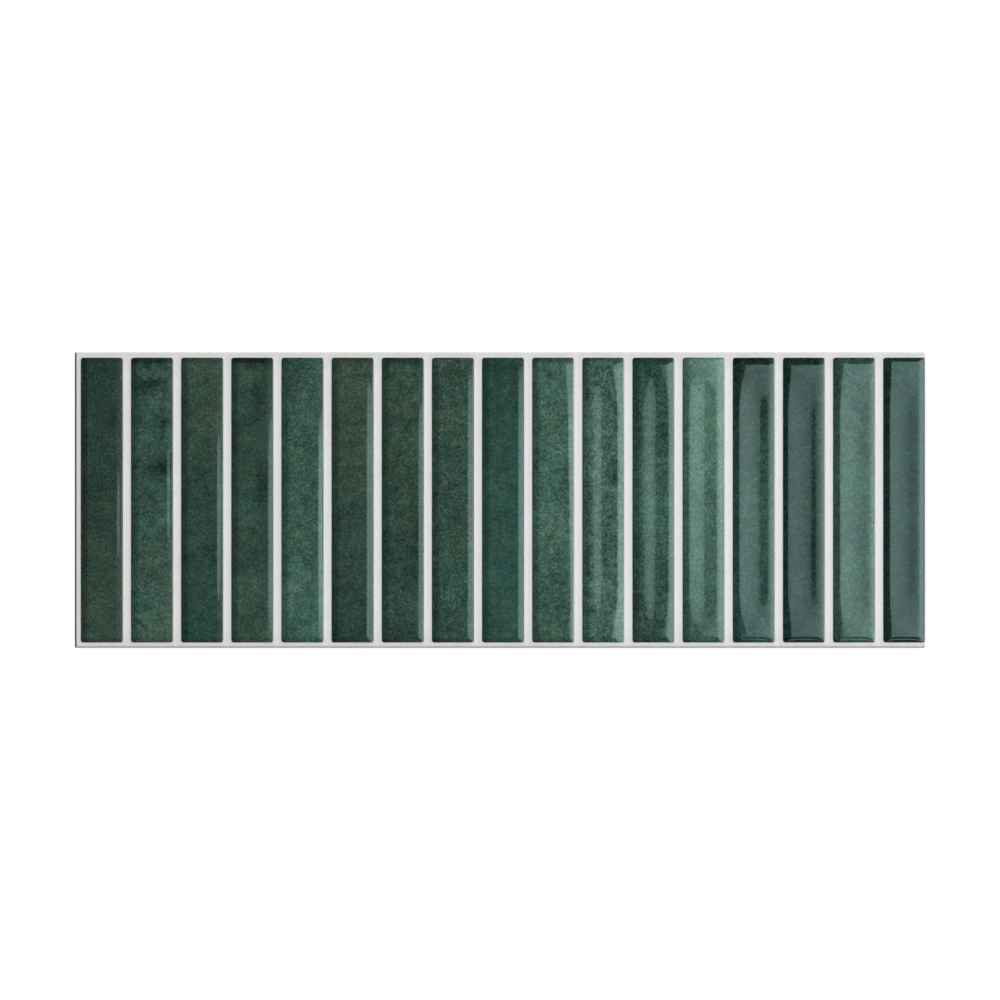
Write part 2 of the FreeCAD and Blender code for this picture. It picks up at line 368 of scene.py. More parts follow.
def joint_height():
    """Height of the joints and margins: arrises, less the deepest gutter at each place."""
    in_row = (X > FINGER_CENTRES[0]) & (X < FINGER_CENTRES[-1])
    to_joint = np.where(in_row, PITCH / 2 - np.abs(grid_x), PITCH)
    depth = gutter_depth(to_joint, JOINT_WIDTH - 2 * GUTTER_LEDGE, JOINT_GUTTER_DEPTH)
    for margin, distance in ((LEFT_MARGIN, from_left), (END_MARGIN, from_end)):
        width = margin - FACE_ARRIS - 2 * GUTTER_LEDGE
        middle = FACE_ARRIS + GUTTER_LEDGE + width / 2
        depth = np.maximum(depth, gutter_depth(distance - middle, width, MARGIN_GUTTER_DEPTH))
    arris = np.minimum(arris_height(from_left), arris_height(from_end))
    return np.minimum(arris, JOINT_LEVEL - depth)


at_foot = np.abs(edge) < HAIR / 2
Z = np.where(edge > 0, finger_z + lift, joint_height())
Z = np.where(at_foot, JOINT_LEVEL, Z)
print(f"face: lowest {Z.min():.2f} mm, highest {Z.max():.2f} mm above the back")

# %% [markdown]
# ## Sides and back
#
# Under the face the side stands upright for a few millimetres and then draws in towards
# the back, so that the pressed tile leaves its die. The back has rows of shallow pockets
# that key it into the adhesive. The side is a band of faces carried down from the border of
# the grid. The back is the flat between that band and the mouths of the pockets, filled with
# triangles, and the pockets themselves are small boxes with sloping walls.

# %% The band down the sides
# the painted shade of the arris fades out within this many mm down the side
SIDE_BAND = 3.0
SIDE_DRAFT = 0.5
PAINTED_SHADE_REACH = 0.4


def border(grid):
    """Values on the border of the grid, once round against the clock."""
    return np.concatenate([grid[0, :-1], grid[:-1, -1], grid[-1, :0:-1], grid[:0:-1, 0]])


def ring_faces(upper, lower):
    """Four-sided faces between two rings of point numbers that run the same way round."""
    return np.column_stack([upper, lower, np.roll(lower, -1), np.roll(upper, -1)])


numbers = np.arange(X.size).reshape(X.shape)
rim, rim_x, rim_y, rim_z = border(numbers), border(face_x), border(face_y), border(Z)
draft_x, draft_y = 1 - 2 * SIDE_DRAFT / LENGTH, 1 - 2 * SIDE_DRAFT / WIDTH
under_rim = X.size + np.arange(len(rim))
band_foot, bed = under_rim + len(rim), under_rim + 2 * len(rim)
points = [
    np.column_stack([face_x.ravel(), face_y.ravel(), Z.ravel()]),
    np.column_stack([rim_x, rim_y, rim_z - PAINTED_SHADE_REACH]),
    np.column_stack([rim_x, rim_y, 0 * rim_z + JOINT_LEVEL - SIDE_BAND]),
    np.column_stack([rim_x * draft_x, rim_y * draft_y, 0 * rim_z]),
]
face_quads = np.column_stack([
    numbers[:-1, :-1].ravel(), numbers[:-1, 1:].ravel(),
    numbers[1:, 1:].ravel(), numbers[1:, :-1].ravel(),
])
rings = (rim, under_rim, band_foot, bed)
side_quads = np.concatenate([ring_faces(*pair) for pair in zip(rings[:-1], rings[1:])])

# %% The pockets of the back
KEY_DEPTH = 0.6
KEY_RIM = 6.0
KEY_RIB = 3.0
KEY_ROWS = 4
KEY_COLUMNS = 12
KEY_DRAFT = 0.4

field = np.array([LENGTH, WIDTH]) - 2 * KEY_RIM + KEY_RIB
step = field / [KEY_COLUMNS, KEY_ROWS]
pocket_x, pocket_y = np.meshgrid(
    (np.arange(KEY_COLUMNS) + 0.5) * step[0] - field[0] / 2,
    (np.arange(KEY_ROWS) + 0.5) * step[1] - field[1] / 2,
)
middles = np.column_stack([pocket_x.ravel(), pocket_y.ravel()])
CORNERS = np.array([[-1, -1], [1, -1], [1, 1], [-1, 1]])
mouth = middles[:, None, :] + CORNERS * (step - KEY_RIB) / 2
key_floor = middles[:, None, :] + CORNERS * ((step - KEY_RIB) / 2 - KEY_DRAFT)
pocket_points = np.concatenate([mouth.reshape(-1, 2), key_floor.reshape(-1, 2)])
pocket_z = np.repeat([0, KEY_DEPTH], len(pocket_points) // 2)
points.append(np.column_stack([pocket_points, pocket_z]))

mouths = bed[-1] + 1 + np.arange(len(middles) * 4).reshape(-1, 4)
floors = mouths + len(middles) * 4
next_mouths, next_floors = np.roll(mouths, -1, axis=1), np.roll(floors, -1, axis=1)
wall_quads = np.stack([mouths, floors, next_floors, next_mouths], axis=-1).reshape(-1, 4)
key_quads = np.concatenate([wall_quads, floors[:, ::-1]])
print(f"back: {len(middles)} pockets of {step[0] - KEY_RIB:.1f} x {step[1] - KEY_RIB:.1f} mm")

# %% [markdown]
# ## One closed mesh
#
# All the faces go into one mesh, because the real tile is one piece. Three finishes share
# it: green glaze on the fingers, pale glaze on the joints, and bare biscuit on the sides and
# the back. A face takes its finish by its place in the grid.

# %% Make the mesh
GREEN, PALE, BISCUIT = 0, 1, 2

lower_pair = np.minimum(edge[:-1, :-1], edge[:-1, 1:])
upper_pair = np.minimum(edge[1:, :-1], edge[1:, 1:])
lowest_edge = np.minimum(lower_pair, upper_pair)
face_finish = np.where(lowest_edge.ravel() > -HAIR / 2, GREEN, PALE)
quads = np.concatenate([face_quads, side_quads, key_quads])
finish = np.concatenate([face_finish, np.full(len(side_quads) + len(key_quads), BISCUIT)])

mesh = bpy.data.meshes.new("tile")
mesh.from_pydata(np.concatenate(points) * MM, [], quads)
mesh.polygons.foreach_set("material_index", finish)
mesh.polygons.foreach_set("use_smooth", np.ones(len(quads), bool))
mesh.update()
tile = bpy.data.objects.new("tile", mesh)
bpy.context.scene.collection.objects.link(tile)

# %% Fill the flat of the back, and mark the sharp edges
SHARP_TURN = float(np.radians(50))
CUBIC_CM = (10 * MM) ** 3

work = bmesh.new()
work.from_mesh(mesh)
open_edges = [line for line in work.edges if len(line.link_faces) == 1]
filled = bmesh.ops.triangle_fill(work, edges=open_edges, use_beauty=True, normal=(0, 0, -1))
for face in filled["geom"]:
    if isinstance(face, bmesh.types.BMFace):
        face.material_index = BISCUIT
        if face.normal.z > 0:
            face.normal_flip()
faults = sum(not line.is_contiguous for line in work.edges)
for line in work.edges:
    line.smooth = line.calc_face_angle(0) < SHARP_TURN
work.to_mesh(mesh)
volume = work.calc_volume() / CUBIC_CM
work.free()
print(f"tile: {len(mesh.polygons)} faces, {faults} open or twisted edges, {volume:.2f} cm3")

# %% [markdown]
# ## Notes that the glaze will need
#
# A pattern in a material knows only where a point lies. Some things about this glaze depend
# on the finger instead: how dark it fired, how blue or brown it turned, how strongly it
# mottled. They are written onto the points of the mesh as attributes, as a decorator would
# note them down finger by finger, and the glaze reads them back.

# %% The decorator's notes, one line for each finger from the left
# tone at the top, middle and bottom, 0 dark to 1 light; hue at the top and bottom, -1 brown
# to 1 teal; strength of the light mottles, the brush bands and the grain; pooling and painted
# shade at the top
NOTES = np.array([
    [0.17, 0.24, 0.38, 0.0, -0.6, 0.10, 0.00, 0.32, 0.25],
    [0.60, 0.50, 0.71, 0.1, -0.1, 0.18, 0.06, 0.31, 0.60],
    [0.45, 0.35, 0.34, -0.4, 0.3, 0.10, 0.00, 0.28, 0.30],
    [0.45, 0.38, 0.52, -0.1, -0.2, 0.11, 0.04, 0.25, 0.60],
    [0.53, 0.65, 0.92, 0.0, 0.1, 0.20, 0.00, 0.29, 0.00],
    [0.46, 0.39, 0.26, -0.8, 0.1, 0.11, 0.00, 0.28, 0.30],
    [0.48, 0.33, 0.40, -0.2, -0.2, 0.14, 0.00, 0.33, 0.50],
    [0.49, 0.45, 0.41, -0.2, -0.1, 0.18, 0.00, 0.32, 0.00],
    [0.29, 0.52, 0.55, 0.4, 0.6, 0.08, 0.00, 0.26, 0.00],
    [0.83, 0.79, 0.67, 0.0, 0.0, 0.20, 0.00, 0.38, 0.45],
    [0.69, 0.77, 0.77, 0.0, -0.1, 0.28, 0.00, 0.41, 0.25],
    [0.35, 0.67, 0.44, 0.2, 0.1, 0.16, 0.00, 0.41, 0.40],
    [1.16, 1.00, 0.63, -0.1, 0.1, 0.12, 0.00, 0.36, 0.00],
    [-0.04, 0.52, 0.37, 0.0, 0.5, 0.14, 0.00, 0.34, 0.30],
    [0.00, -0.04, 0.06, 0.5, 0.7, 0.15, 0.00, 0.38, 0.30],
    [0.47, 0.73, 0.60, 0.2, 0.1, 0.16, 0.04, 0.34, 0.20],
    [0.02, 0.05, 0.00, 0.7, 0.7, 0.15, 0.00, 0.32, 0.20],
])
top_tone, middle_tone, bottom_tone, top_hue, bottom_hue = np.moveaxis(NOTES[finger], -1, 0)[:5]
mottle, bands, grain, top_pool_and_shade = np.moveaxis(NOTES[finger], -1, 0)[5:]
upwards = face_y / (FINGER_LENGTH / 2)
tone = middle_tone + np.clip(upwards, 0, 1) * (top_tone - middle_tone)
tone = tone + np.clip(-upwards, 0, 1) * (bottom_tone - middle_tone)
hue = bottom_hue + (upwards + 1) / 2 * (top_hue - bottom_hue)

# %% Patches that the decorator's brush left, darker or lighter than their finger
# finger counted from 1; place of the patch across and along from the finger's middle, and its
# reach both ways, in mm; change of tone
PATCHES = [
    (1, -4.4, 19.0, 0.4, 12.0, 0.15),
    (2, 0.0, 48.0, 9.0, 2.2, -0.38),
    (2, -1.0, 40.5, 6.0, 2.6, -0.48),
    (2, -5.0, 29.0, 2.5, 5.0, -0.30),
    (2, 4.0, 27.5, 3.0, 2.5, -0.50),
    (2, 2.5, 11.5, 4.5, 2.3, -0.55),
    (2, 1.0, 34.0, 6.0, 2.5, 0.20),
    (4, 0.0, 48.5, 9.0, 2.4, -0.30),
    (4, -2.0, 44.5, 5.0, 0.8, 0.20),
    (4, 2.5, 36.0, 3.0, 5.0, -0.42),
    (4, 4.0, 5.0, 2.5, 7.0, -0.40),
    (5, 3.5, -22.0, 3.0, 3.0, -0.18),
    (5, -3.0, -31.0, 4.5, 4.0, 0.20),
    (5, -4.0, -46.0, 4.0, 5.0, -0.25),
    (7, 0.0, 48.5, 9.0, 1.6, -0.20),
    (8, 0.0, -30.0, 4.0, 8.0, 0.10),
    (10, 4.5, 8.0, 2.5, 8.0, -0.18),
    (10, -1.0, 0.0, 4.0, 12.0, 0.12),
    (11, 4.0, 9.0, 3.0, 3.5, -0.38),
    (11, -6.0, 20.0, 2.5, 20.0, 0.15),
    (12, 5.0, 24.0, 2.5, 8.0, -0.20),
    (12, 5.0, -28.0, 2.5, 8.0, -0.15),
]
for number, patch_x, patch_y, reach_x, reach_y, change in PATCHES:
    away = ((local_x - patch_x) / reach_x) ** 2 + ((face_y - patch_y) / reach_y) ** 2
    tone = tone + change * np.exp(-away) * (finger == number - 1)

# %% Darker rims: glaze pooled off the crown all round, and painted shade, most on the left
# how much it darkens, and the distances in mm from the edge at which that is full and gone
LEFT_PAINTED_SHADE, LOWER_POOL_AND_SHADE, LEFT_WALL_PAINTED_SHADE = 0.42, 0.30, 0.55
LEFT_PAINTED_SHADE_REACH = (1.5, 3.3)
TOP_POOL_AND_SHADE_REACH = (1.0, 2.8)
LOWER_POOL_AND_SHADE_REACH = (0.6, 2.4)
LEFT_WALL_PAINTED_SHADE_REACH = (0.1, 0.5)


def beside(distance, full, gone):
    """1 as far as full from an edge and 0 beyond gone: 1 less the smooth step between them."""
    return 1 - ease(distance, full, gone)


# painted shade, most on the left side that faces away from the lamps, mixed with pooled glaze at
# the top and lower rims
pool_and_painted_shade = 1 - LEFT_PAINTED_SHADE * beside(half_x + local_x, *LEFT_PAINTED_SHADE_REACH)
pool_and_painted_shade = pool_and_painted_shade * (1 - top_pool_and_shade * beside(half_y - face_y, *TOP_POOL_AND_SHADE_REACH))
pool_and_painted_shade = pool_and_painted_shade * (1 - LOWER_POOL_AND_SHADE * beside(half_y + face_y, *LOWER_POOL_AND_SHADE_REACH))
# painted shade on the left walls only
pool_and_painted_shade = pool_and_painted_shade * (1 - LEFT_WALL_PAINTED_SHADE * beside(edge, *LEFT_WALL_PAINTED_SHADE_REACH) * (local_x < 0))
print(f"pooling: leaves {pool_and_painted_shade.min():.2f} to {pool_and_painted_shade.max():.2f} of the colour")

# %% A painted highlight on the right edge and cushion, and dry glaze on the other shoulders
# how strong the painted highlight is, for groups of fingers from the left, and the distances in
# mm over which it fades from the right edge inwards, turns from dry to wet, and from wet at the
# right edge
EDGE_PAINTED_HIGHLIGHT = np.repeat([0.15, 0.70], [9, 8])
CUSHION_PAINTED_HIGHLIGHT = np.repeat([0.03, 0.015, 0.04], [5, 4, 8])
EDGE_PAINTED_HIGHLIGHT_REACH = (0.15, 0.55)
CUSHION_PAINTED_HIGHLIGHT_REACH = (1.4, 2.6)
DRY_REACH = (0.1, 0.4)
WET_RIGHT_REACH = (0.4, 1.0)

from_right = half_x - local_x
# painted highlight: the right edge and cushion are made paler where they mirror the window
painted_highlight = EDGE_PAINTED_HIGHLIGHT[finger] * beside(from_right, *EDGE_PAINTED_HIGHLIGHT_REACH)
painted_highlight = np.maximum(painted_highlight, CUSHION_PAINTED_HIGHLIGHT[finger] * beside(from_right, *CUSHION_PAINTED_HIGHLIGHT_REACH))
dry = beside(edge, *DRY_REACH) * ease(from_right, *WET_RIGHT_REACH)

# %% Painted shade on the left arris, a lighter one on the lower arris, and darker margins
# how dark they are, and the distances in mm from a side; the margins are not darkened at the upper
# arris
LOWER_ARRIS_PAINTED_SHADE, MARGIN_DARKENING = 0.46, 0.09
LEFT_ARRIS_PAINTED_SHADE_REACH = (0.45, 0.85)
LOWER_ARRIS_PAINTED_SHADE_REACH = (0.62, 0.85)
MARGIN_DARKENING_REACH = (1.5, 9.0)
UNDARKENED_TOP_REACH = (0.1, 0.8)

# painted shade: the left and lower arrises face away from the lamps
left_arris_painted_shade = beside(from_left, *LEFT_ARRIS_PAINTED_SHADE_REACH)
lower_arris_painted_shade = LOWER_ARRIS_PAINTED_SHADE * beside(Y + WIDTH / 2, *LOWER_ARRIS_PAINTED_SHADE_REACH)
# the margins are darker towards the left side and the ends, but not near the upper arris
margin_darkening = MARGIN_DARKENING * beside(np.minimum(from_left, from_end), *MARGIN_DARKENING_REACH)
margin_darkening = margin_darkening * ease(WIDTH / 2 - Y, *UNDARKENED_TOP_REACH)
painted_shade_and_margins = np.maximum(np.maximum(left_arris_painted_shade, lower_arris_painted_shade), margin_darkening)

# %% Store the notes
# pour shifts each finger to its own place in the patterns, so no two are glazed alike
rng = np.random.default_rng(17)
batch = rng.uniform(-1, 1, (FINGER_COUNT, 3))
pour = np.stack([face_x, face_y, 0 * Z], axis=-1) * MM + batch[finger]


def note_on_points(name, values, default, kind="FLOAT"):
    """Stores a value or a vector for each point of the grid; the sides and back get the default."""
    values = values.reshape(X.size, -1)
    rest = np.full((len(mesh.vertices) - X.size, values.shape[1]), default)
    attribute = mesh.attributes.new(name, kind, "POINT")
    stored = np.concatenate([values, rest]).astype(np.float32).ravel()
    attribute.data.foreach_set("vector" if kind == "FLOAT_VECTOR" else "value", stored)


note_on_points("tone", tone, 0.4)
note_on_points("hue", hue, 0.0)
note_on_points("mottle", mottle, 0.0)
note_on_points("bands", bands, 0.0)
note_on_points("grain", grain, 0.4)
note_on_points("pool_and_painted_shade", pool_and_painted_shade, 1.0)
note_on_points("painted_highlight", painted_highlight, 0.0)
note_on_points("dry", dry, 1.0)
note_on_points("painted_shade_and_margins", painted_shade_and_margins, 0.0)
note_on_points("pour", pour, 0.0, "FLOAT_VECTOR")
print(f"notes: tones from {tone.min():.2f} to {tone.max():.2f}, on {X.size} points of the face")

# %% [markdown]
# ## Helpers for the finishes
#
# Colours are picked as the eye sees them, in sRGB hex, and one function turns them linear.
# One function adds a node with its settings and feeds its inputs, so each finish below
# reads as a short recipe.

# %% Colour and node helpers


def linear(hex_colour):
    """Linear RGBA of an sRGB hex colour, by the sRGB curve: ((c + 0.055) / 1.055) ^ 2.4."""
    raw = np.array([int(hex_colour[i:i + 2], 16) for i in (1, 3, 5)]) / 255
    curved = np.where(raw <= 0.04045, raw / 12.92, ((raw + 0.055) / 1.055) ** 2.4)
    return (*curved, 1.0)


def add(tree, kind, settings=(), **feeds):
    """Adds a node of a kind with its settings, feeds its inputs and returns the node.

    A setting is a property, or run, the hex colours of a colour ramp, evenly spread. A feed
    is named like its input, with underscores for spaces, or _0 for input number 0. It is a
    value, a hex colour, a socket to link, or a node whose first live output is linked.
    """
    node = tree.nodes.new("ShaderNode" + kind)
    settings = dict(settings)
    stops = settings.pop("run", ())
    for name, value in settings.items():
        setattr(node, name, value)
    for place, colour in zip(np.linspace(0, 1, len(stops)), stops):
        elements = node.color_ramp.elements
        stop = elements.new(place) if 0 < place < 1 else elements[-int(place)]
        stop.color = linear(colour)
    for name, feed in feeds.items():
        socket = node.inputs[int(name[1:]) if name[0] == "_" else name.replace("_", " ")]
        if isinstance(feed, bpy.types.Node):
            feed = next(output for output in feed.outputs if output.enabled)
        if isinstance(feed, bpy.types.NodeSocket):
            tree.links.new(feed, socket)
        else:
            socket.default_value = linear(feed) if isinstance(feed, str) else feed
    return node


def new_finish(name):
    """An empty material by name, with its node tree."""
    material = bpy.data.materials.new(name)
    material.use_nodes = True
    material.node_tree.nodes.clear()
    return material, material.node_tree


# %% [markdown]
# ## Green reactive glaze
#
# The fingers carry a reactive gloss glaze: a clear, hard glass coloured by copper and iron,
# sprayed on and fired until it runs. It gives the eye a dark green that drifts from olive
# to teal, soft clouds where it lies thicker, a fine grain of crystals, a few pinholes, and
# a sharp reflection on top. It darkens at the rims of each finger, where it pools and where
# shade is painted into its colour, most on the left side; a highlight is painted along the
# right edges.
# The colour is built as a tone from dark to light, moved by noises of several sizes, and
# then looked up in three colour runs, a brown, a green and a teal one, mixed by hue.

# %% Tone of the green glaze
# brush strokes run across a finger, so their pattern is stretched that way
CLOUD_STRENGTH = 0.16
STROKE_STRETCH = (0.16, 1.0, 1.0)
MULTIPLY = {"operation": "MULTIPLY"}
MULTIPLY_ADD = {"operation": "MULTIPLY_ADD"}

green, tree = new_finish("reactive_gloss_glaze")
notes = {
    name: add(tree, "Attribute", {"attribute_name": name}).outputs
    for name in ("tone", "hue", "mottle", "bands", "grain", "pool_and_painted_shade", "painted_highlight", "dry", "pour")
}
place = notes["pour"]["Vector"]
stroke = add(tree, "VectorMath", MULTIPLY, _0=place, _1=STROKE_STRETCH)
# The size of each pattern's features in mm, its octaves, and how rough they are. Real glaze
# crystals are a tenth of a millimetre, drawn here as large as a picture can show them.
PATTERNS = {
    "clouds": (12.0, 4.0, 0.6, place),
    "mottles": (3.0, 4.0, 0.75, place),
    "strokes": (4.0, 4.0, 0.55, stroke),
    "crystals": (0.75, 2.0, 0.85, place),
    "drift": (9.0, 4.0, 0.6, place),
    "ripple": (6.0, 1.0, 0.5, place),
}
patterns = {
    name: add(tree, "TexNoise", {"normalize": False}, Vector=where, Scale=1 / (size * MM),
              Detail=octaves, Roughness=roughness)
    for name, (size, octaves, roughness, where) in PATTERNS.items()
}
tone_here = notes["tone"]["Fac"]
strengths = {
    "clouds": CLOUD_STRENGTH,
    "mottles": notes["mottle"]["Fac"],
    "strokes": notes["bands"]["Fac"],
    "crystals": notes["grain"]["Fac"],
}
for name, strength in strengths.items():
    tone_here = add(tree, "Math", MULTIPLY_ADD, _0=patterns[name], _1=strength, _2=tone_here)

# %% Hue of the green glaze, from its three colour runs
# the drift turns the glaze bluer in places, and the crystals turn it browner
GREEN_RUN = ["#07120D", "#1B3027", "#324E42", "#486C5E", "#5E8A78"]
TEAL_RUN = ["#04130F", "#12322B", "#2A4E48", "#406C65", "#548A81"]
BROWN_RUN = ["#0D120F", "#263029", "#404E44", "#5C6C5F", "#7A8C7B"]
LOWEST_TONE, HIGHEST_TONE = -0.5, 1.5
DRIFT_HUE, CRYSTAL_HUE = 0.35, -0.35
COLOUR_MIX = {"data_type": "RGBA"}

run_place = add(tree, "MapRange", Value=tone_here, From_Min=LOWEST_TONE, From_Max=HIGHEST_TONE)
hue_here = notes["hue"]["Fac"]
for name, strength in (("drift", DRIFT_HUE), ("crystals", CRYSTAL_HUE)):
    hue_here = add(tree, "Math", MULTIPLY_ADD, _0=patterns[name], _1=strength, _2=hue_here)
browning = add(tree, "Math", MULTIPLY, _0=hue_here, _1=-1.0)
plain = add(tree, "ValToRGB", {"run": GREEN_RUN}, Fac=run_place)
teal = add(tree, "ValToRGB", {"run": TEAL_RUN}, Fac=run_place)
brown = add(tree, "ValToRGB", {"run": BROWN_RUN}, Fac=run_place)
cool = add(tree, "Mix", COLOUR_MIX, Factor=hue_here, A=plain, B=teal)
body = add(tree, "Mix", COLOUR_MIX, Factor=browning, A=cool, B=brown)

# %% Pinholes, pools with painted shade, and the painted highlight of the green glaze
# a pinhole's inner and outer radius are shares of the spacing, and it is a shade darker
PINHOLE_SPACING = 5.0
PINHOLE_INNER, PINHOLE_OUTER = 0.03, 0.07
PINHOLE_SHADE = 0.35
# colour of the painted highlight along the right edges
PAINTED_HIGHLIGHT_COLOUR = "#C4CEC9"

cells = add(tree, "TexVoronoi", Vector=place, Scale=1 / (PINHOLE_SPACING * MM))
holes = add(tree, "MapRange", Value=cells,
            From_Min=PINHOLE_INNER, From_Max=PINHOLE_OUTER, To_Min=PINHOLE_SHADE)
# the pinholes, the pooled glaze and the painted shade darken the colour here
shade = add(tree, "Math", MULTIPLY, _0=holes, _1=notes["pool_and_painted_shade"]["Fac"])
pooled_and_shaded = add(tree, "VectorMath", {"operation": "SCALE"}, _0=body, Scale=shade)
# the painted highlight is mixed in over the darkened colour
colour = add(tree, "Mix", COLOUR_MIX, Factor=notes["painted_highlight"]["Fac"], A=pooled_and_shaded, B=PAINTED_HIGHLIGHT_COLOUR)

# %% Surface of the green glaze
RIPPLE_DEPTH = 0.003
GLOSS_ROUGHNESS, DRY_ROUGHNESS = 0.05, 0.6
GLOSS_TINT = "#DDFBF8"

ripple = add(tree, "Bump", Height=patterns["ripple"], Distance=RIPPLE_DEPTH * MM)
roughness_here = add(tree, "MapRange", Value=notes["dry"]["Fac"],
                     To_Min=GLOSS_ROUGHNESS, To_Max=DRY_ROUGHNESS)
gloss = add(tree, "BsdfPrincipled", Base_Color=colour, Normal=ripple, Roughness=roughness_here,
            IOR=1.52, Specular_Tint=GLOSS_TINT)
add(tree, "OutputMaterial", Surface=gloss)

# %% [markdown]
# ## Pale satin glaze
#
# The joints and margins carry a pale grey satin glaze. Fine crystals in its surface break
# up the reflection, so it looks like smooth grout and shows its gutters only by soft shade.
# Along the left arris a thin dark line of painted shade is mixed into its colour, a lighter
# one along the lower arris, and the margins are a little darker.

# %% Pale glaze
PALE_RUN = ["#E1E2E2", "#E9EAEA", "#EFF0F0"]
# colour of the painted shade on the arrises, also mixed in for the darker margins
PAINTED_SHADE_COLOUR = "#1A1A19"
PALE_CLOUD, PALE_GRAIN = 6.0, 0.8

pale, tree = new_finish("satin_grout_glaze")
place = add(tree, "TexCoord").outputs["Object"]
soft = add(tree, "TexNoise", Vector=place, Scale=1 / (PALE_CLOUD * MM), Detail=3.0)
fine = add(tree, "TexNoise", Vector=place, Scale=1 / (PALE_GRAIN * MM), Detail=3.0)
speckle = add(tree, "Mix", Factor=0.4, A=soft, B=fine)
tint = add(tree, "ValToRGB", {"run": PALE_RUN}, Fac=speckle)
# painted shade on the left and lower arrises, and the darker margins
painted_shade_here = add(tree, "Attribute", {"attribute_name": "painted_shade_and_margins"}).outputs["Fac"]
shaded_tint = add(tree, "Mix", COLOUR_MIX, Factor=painted_shade_here, A=tint, B=PAINTED_SHADE_COLOUR)
satin = add(tree, "BsdfPrincipled", Base_Color=shaded_tint, Roughness=0.42, IOR=1.5)
add(tree, "OutputMaterial", Surface=satin)

# %% [markdown]
# ## Bare biscuit
#
# The sides and the back are unglazed: fired white-bodied clay with a dry, slightly sandy
# surface, a little yellow beside the pale glaze. Some of that glaze has run over the edge,
# down to an uneven line.

# %% Clay of the biscuit
CLAY_RUN = ["#BCAB92", "#D2C4AE", "#E2D8C6"]
CLAY_CLOUD, SAND_GRAIN = 9.0, 0.6
SAND_DEPTH = 0.05

biscuit, tree = new_finish("biscuit_earthenware")
place = add(tree, "TexCoord").outputs["Object"]
soft = add(tree, "TexNoise", Vector=place, Scale=1 / (CLAY_CLOUD * MM), Detail=3.0)
fine = add(tree, "TexNoise", Vector=place, Scale=1 / (SAND_GRAIN * MM), Detail=3.0)
speckle = add(tree, "Mix", Factor=0.5, A=soft, B=fine)
clay = add(tree, "ValToRGB", {"run": CLAY_RUN}, Fac=speckle)
sand = add(tree, "Bump", Height=fine, Strength=0.4, Distance=SAND_DEPTH * MM)

# %% Glaze that ran over the edge onto the biscuit
# height of its lower line above the back, how far and how often it wanders, and its blur
GLAZE_LINE = 5.6
GLAZE_WANDER, WANDER_SIZE = 0.7, 5.0
GLAZE_BLUR = 0.1
BARE_ROUGHNESS, RUN_ROUGHNESS = 0.85, 0.45

height = add(tree, "SeparateXYZ", Vector=place).outputs["Z"]
wander = add(tree, "TexNoise", {"normalize": False}, Vector=place,
             Scale=1 / (WANDER_SIZE * MM), Detail=2.0)
ragged = add(tree, "Math", MULTIPLY_ADD, _0=wander, _1=GLAZE_WANDER * MM, _2=height)
glazed = add(tree, "MapRange", Value=ragged,
             From_Min=(GLAZE_LINE - GLAZE_BLUR) * MM, From_Max=(GLAZE_LINE + GLAZE_BLUR) * MM)
run_over = add(tree, "Mix", COLOUR_MIX, Factor=glazed, A=clay, B=PALE_RUN[1])
# painted shade of the arrises, carried a little way down the sides
painted_shade_here = add(tree, "Attribute", {"attribute_name": "painted_shade_and_margins"}).outputs["Fac"]
shaded_coat = add(tree, "Mix", COLOUR_MIX, Factor=painted_shade_here, A=run_over, B=PAINTED_SHADE_COLOUR)
sheen = add(tree, "MapRange", Value=glazed, To_Min=BARE_ROUGHNESS, To_Max=RUN_ROUGHNESS)
bare = add(tree, "BsdfPrincipled", Base_Color=shaded_coat, Roughness=sheen, Normal=sand, IOR=1.5)
add(tree, "OutputMaterial", Surface=bare)

# %% Put the finishes on and hand the tile over
for material in (green, pale, biscuit):
    mesh.materials.append(material)
    print(f"{material.name}: {len(material.node_tree.nodes)} nodes")
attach(tile, "root")
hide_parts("tile")

# %% [markdown]
# ## Floor, light and camera
#
# The tile lies on a plain white floor and is seen from straight above. A gloss glaze shows
# what it mirrors, so the light is laid out for its reflections: one window-like softbox
# stands to the right, and the fingers that lean or lie far enough towards it mirror it.
# Its glow grows towards its far side, where its lamp sits. A wide panel overhead gives the
# even light of a studio. Its own reflection is kept out of the gloss, as a polarising filter
# would do.

# %% Camera
# the sides of the tile in the photograph, in pixels, and the camera's height above the joints
PHOTO_SIZE = 1000.0
PHOTO_LEFT, PHOTO_RIGHT = 74.7, 925.2
PHOTO_TOP, PHOTO_BOTTOM = 352.1, 648.1
CAMERA_HEIGHT = 1200.0

mm_per_pixel = LENGTH / (PHOTO_RIGHT - PHOTO_LEFT)
camera_data = bpy.data.cameras.new("camera")
camera = bpy.data.objects.new("camera", camera_data)
bpy.context.scene.collection.objects.link(camera)
bpy.context.scene.camera = camera
camera.location = (
    (PHOTO_SIZE / 2 - (PHOTO_LEFT + PHOTO_RIGHT) / 2) * mm_per_pixel * MM,
    ((PHOTO_TOP + PHOTO_BOTTOM) / 2 - PHOTO_SIZE / 2) * mm_per_pixel * MM,
    (JOINT_LEVEL + CAMERA_HEIGHT) * MM,
)
camera_data.sensor_width = 36.0
camera_data.lens = camera_data.sensor_width * CAMERA_HEIGHT / (PHOTO_SIZE * mm_per_pixel)
print(f"camera: {mm_per_pixel:.4f} mm a pixel, lens {camera_data.lens:.1f} mm")

# %% Lamps
# the window's turn in radians, its glow from the near to the far side, and the power by which
# that grows; the lamps' places and sizes are in metres
WINDOW_TURN = 0.06
NEAR_GLOW, FAR_GLOW = 1.0, 4.9
GLOW_POWER = 0.6


